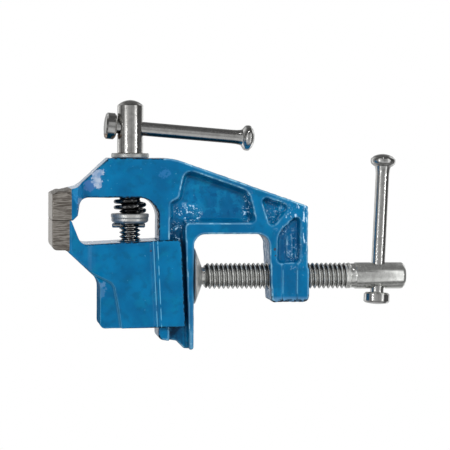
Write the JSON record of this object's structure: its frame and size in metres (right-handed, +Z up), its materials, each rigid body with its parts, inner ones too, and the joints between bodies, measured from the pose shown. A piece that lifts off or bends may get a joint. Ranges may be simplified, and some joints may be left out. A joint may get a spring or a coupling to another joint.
{
  "type": "hobby vise",
  "caption": "Small clamp-on bench vise: cast body with a C-frame table clamp, a jaw that slides on a T rail, screws with loose turning bars.",
  "frame": {"origin": "on the seat that rests on the tabletop (the underside of the seat flange), on the clamp screw's axis and in the casting's middle plane", "axes": "+Z up, along the clamp screw towards the jaws; +X along the main screw towards its turning bar, so that the moving jaw opens towards -X; Y across the jaws. The picture shows the vise lying on its side: its left is +Z and its top is +X"},
  "size_m": [0.0753, 0.025, 0.1091],
  "materials": {
    "enamelled_casting": "glossy enamel over a rough sand casting, jaws ground bare",
    "plated_screw": "bright nickel plate",
    "plated_bar": "bright nickel plate",
    "zinc_plate": "zinc plate",
    "black_spring_steel": "oiled black",
    "satin_pad": "satin nickel"
  },
  "bodies": {
    "frame": {"body_casting": "enamelled_casting", "hub_washer": "zinc_plate", "take_up_spring": "black_spring_steel", "spring_washer": "zinc_plate"},
    "sliding_jaw": {"moving_jaw": "enamelled_casting"},
    "jaw_screw": {"main_screw": "plated_screw", "thrust_collar": "zinc_plate", "retaining_pin": "zinc_plate"},
    "jaw_screw_bar": {"main_bar": "plated_bar", "main_bar_cap": "plated_bar"},
    "swivel_pad": {"clamp_pad": "satin_pad"},
    "table_screw": {"clamp_screw": "plated_screw"},
    "table_screw_bar": {"clamp_bar": "plated_bar", "clamp_bar_cap": "plated_bar"}
  },
  "joints": [
    {"name": "main_screw_spin", "type": "hinge", "parent": "frame", "child": "jaw_screw", "pos_m": [0.03, 0, 0.0189], "axis": [1, 0, 0], "range_deg": [0, 5670]},
    {"name": "jaw_slide", "type": "slide", "parent": "frame", "child": "sliding_jaw", "axis": [-1, 0, 0], "range_m": [0, 0.02]},
    {"name": "main_bar_slide", "type": "slide", "parent": "jaw_screw", "child": "jaw_screw_bar", "axis": [0.0802, -0.0522, 0.9954], "range_m": [0, 0.027]},
    {"name": "pad_travel", "type": "slide", "parent": "frame", "child": "swivel_pad", "axis": [0, 0, -1], "range_m": [0, 0.018]},
    {"name": "clamp_screw_spin", "type": "hinge", "parent": "swivel_pad", "child": "table_screw", "pos_m": [0, 0, -0.03], "axis": [0, 0, -1], "range_deg": [0, 4593]},
    {"name": "clamp_bar_slide", "type": "slide", "parent": "table_screw", "child": "table_screw_bar", "axis": [-0.9945, -0.087, 0.0576], "range_m": [-0.0009, 0.0262]}
  ],
  "couplings": [
    {"joint": "main_screw_spin", "follows": "jaw_slide", "rad_per_m": 4947.4},
    {"joint": "clamp_screw_spin", "follows": "pad_travel", "rad_per_m": 4453}
  ]
}
